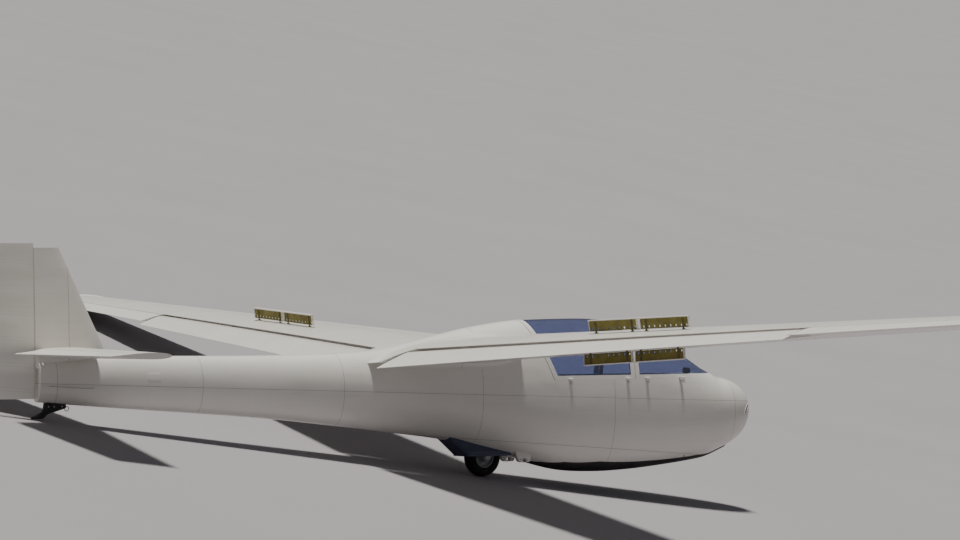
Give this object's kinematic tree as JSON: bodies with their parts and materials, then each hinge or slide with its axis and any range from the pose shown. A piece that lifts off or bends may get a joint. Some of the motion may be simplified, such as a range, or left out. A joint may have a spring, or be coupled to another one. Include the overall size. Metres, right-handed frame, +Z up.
{
  "type": "tandem two-seat training sailplane",
  "caption": "Tandem sailplane with a shoulder wing swept forward, parked on main wheel, tail skid and a wing tip, with flaps and airbrakes run out and hinged hoods.",
  "frame": {"origin": "on the ground under the middle of the parked machine's box", "axes": "+Z up, +X towards the nose, +Y towards the port wing tip; the machine stands nose up and with its port wing down"},
  "size_m": [8.2826, 15.9296, 3.0869],
  "materials": {
    "skin": "gloss white paint on riveted sheet",
    "surface": "semi-gloss white over ribbed sheet",
    "fairing": "satin dark slate blue paint",
    "primer": "matt yellow-green primer",
    "frame": "satin white paint",
    "glazing": "clear acrylic with a faint blue tint",
    "interior": "matt grey-green paint",
    "cushion": "worn dark leathercloth",
    "panel": "matt black crackle paint",
    "steel": "grey painted and bare steel",
    "rubber": "black tyre rubber",
    "skid": "scuffed dark wear plate"
  },
  "bodies": {
    "airframe": {"nose_cap": "skin", "cockpit_tub": "skin", "centre_fuselage": "skin", "dorsal_fairing": "skin", "tail_boom": "skin", "fin": "skin", "tailplane": "skin", "wing_port": "skin", "wing_starboard": "skin", "tip_body_port": "skin", "tip_body_starboard": "skin", "tow_hook_port": "frame", "tow_hook_starboard": "frame", "cockpit_floor": "interior", "front_seat": "interior", "front_cushion": "cushion", "rear_seat": "interior", "rear_cushion": "cushion", "front_panel": "panel", "rear_panel": "panel", "front_stick": "steel", "rear_stick": "steel", "wheel_leg": "steel", "wheel_fairing": "fairing", "belly_skid": "skid", "tail_skid": "skid"},
    "main_wheel": {"main_tyre": "rubber", "wheel_hub": "steel"},
    "front_hood": {"front_hood_frame": "frame", "front_hood_glass": "glazing"},
    "rear_hood": {"rear_hood_frame": "frame", "rear_hood_glass": "glazing"},
    "elevator": {"elevator": "surface"},
    "rudder": {"rudder": "surface"},
    "aileron_starboard": {"aileron_starboard": "surface"},
    "aileron_port": {"aileron_port": "surface"},
    "flap_starboard": {"flap_starboard": "surface"},
    "flap_port": {"flap_port": "surface"},
    "upper_brake_starboard": {"upper_brake_starboard": "primer"},
    "upper_brake_port": {"upper_brake_port": "primer"},
    "lower_brake_starboard": {"lower_brake_starboard": "primer"},
    "lower_brake_port": {"lower_brake_port": "primer"}
  },
  "joints": [
    {"name": "main_wheel_spin", "type": "hinge", "parent": "airframe", "child": "main_wheel", "pos_m": [1.23531, -0.25401, 0.1745], "axis": [0, 0.9833, -0.1819], "continuous": true},
    {"name": "aileron_starboard_hinge", "type": "hinge", "parent": "airframe", "child": "aileron_starboard", "pos_m": [0.84436, -5.21478, 2.28518], "axis": [-0.1366, 0.959, -0.2481], "range_deg": [-20, 20]},
    {"name": "aileron_port_hinge", "type": "hinge", "parent": "airframe", "child": "aileron_port", "pos_m": [0.84436, 5.13356, 0.37036], "axis": [0.1366, 0.9843, -0.1114], "range_deg": [-20, 20]},
    {"name": "flap_starboard_track", "type": "hinge", "parent": "airframe", "child": "flap_starboard", "pos_m": [0.35767, -0.51746, 0.56441], "axis": [-0.1207, 0.9514, -0.2832], "range_deg": [-4, 6]},
    {"name": "flap_port_track", "type": "hinge", "parent": "airframe", "child": "flap_port", "pos_m": [0.35767, 0.13152, 0.44433], "axis": [0.1207, 0.9898, -0.0759], "range_deg": [-4, 6]},
    {"name": "upper_brake_starboard_slide", "type": "slide", "parent": "airframe", "child": "upper_brake_starboard", "axis": [-0.2681, 0.2004, 0.9423], "range_m": [-0.122, 0]},
    {"name": "upper_brake_port_slide", "type": "slide", "parent": "airframe", "child": "upper_brake_port", "axis": [-0.2681, 0.1501, 0.9516], "range_m": [-0.122, 0]},
    {"name": "lower_brake_starboard_slide", "type": "slide", "parent": "airframe", "child": "lower_brake_starboard", "axis": [0.1055, -0.2426, -0.9644], "range_m": [-0.122, 0]},
    {"name": "lower_brake_port_slide", "type": "slide", "parent": "airframe", "child": "lower_brake_port", "axis": [0.1055, -0.1185, -0.9873], "range_m": [-0.122, 0]},
    {"name": "elevator_hinge", "type": "hinge", "parent": "airframe", "child": "elevator", "pos_m": [-3.50312, -0.18037, 0.57244], "axis": [0, 0.9833, -0.1819], "range_deg": [-25, 32]},
    {"name": "rudder_hinge", "type": "hinge", "parent": "airframe", "child": "rudder", "pos_m": [-3.60122, -0.14082, 0.78621], "axis": [-0.1257, 0.1805, 0.9755], "range_deg": [-30, 30]},
    {"name": "front_hood_hinge", "type": "hinge", "parent": "airframe", "child": "front_hood", "pos_m": [2.93243, -0.41205, 1.14508], "axis": [0.9921, 0.0229, 0.1236], "range_deg": [0, 85]},
    {"name": "rear_hood_hinge", "type": "hinge", "parent": "airframe", "child": "rear_hood", "pos_m": [2.23799, -0.42806, 1.05858], "axis": [0.9921, 0.0229, 0.1236], "range_deg": [0, 85]}
  ],
  "couplings": [
    {"joint": "aileron_port_hinge", "follows": "aileron_starboard_hinge", "ratio": -1},
    {"joint": "flap_port_track", "follows": "flap_starboard_track", "ratio": 1},
    {"joint": "upper_brake_port_slide", "follows": "upper_brake_starboard_slide", "ratio": 1},
    {"joint": "lower_brake_starboard_slide", "follows": "upper_brake_starboard_slide", "ratio": 1},
    {"joint": "lower_brake_port_slide", "follows": "upper_brake_starboard_slide", "ratio": 1}
  ]
}
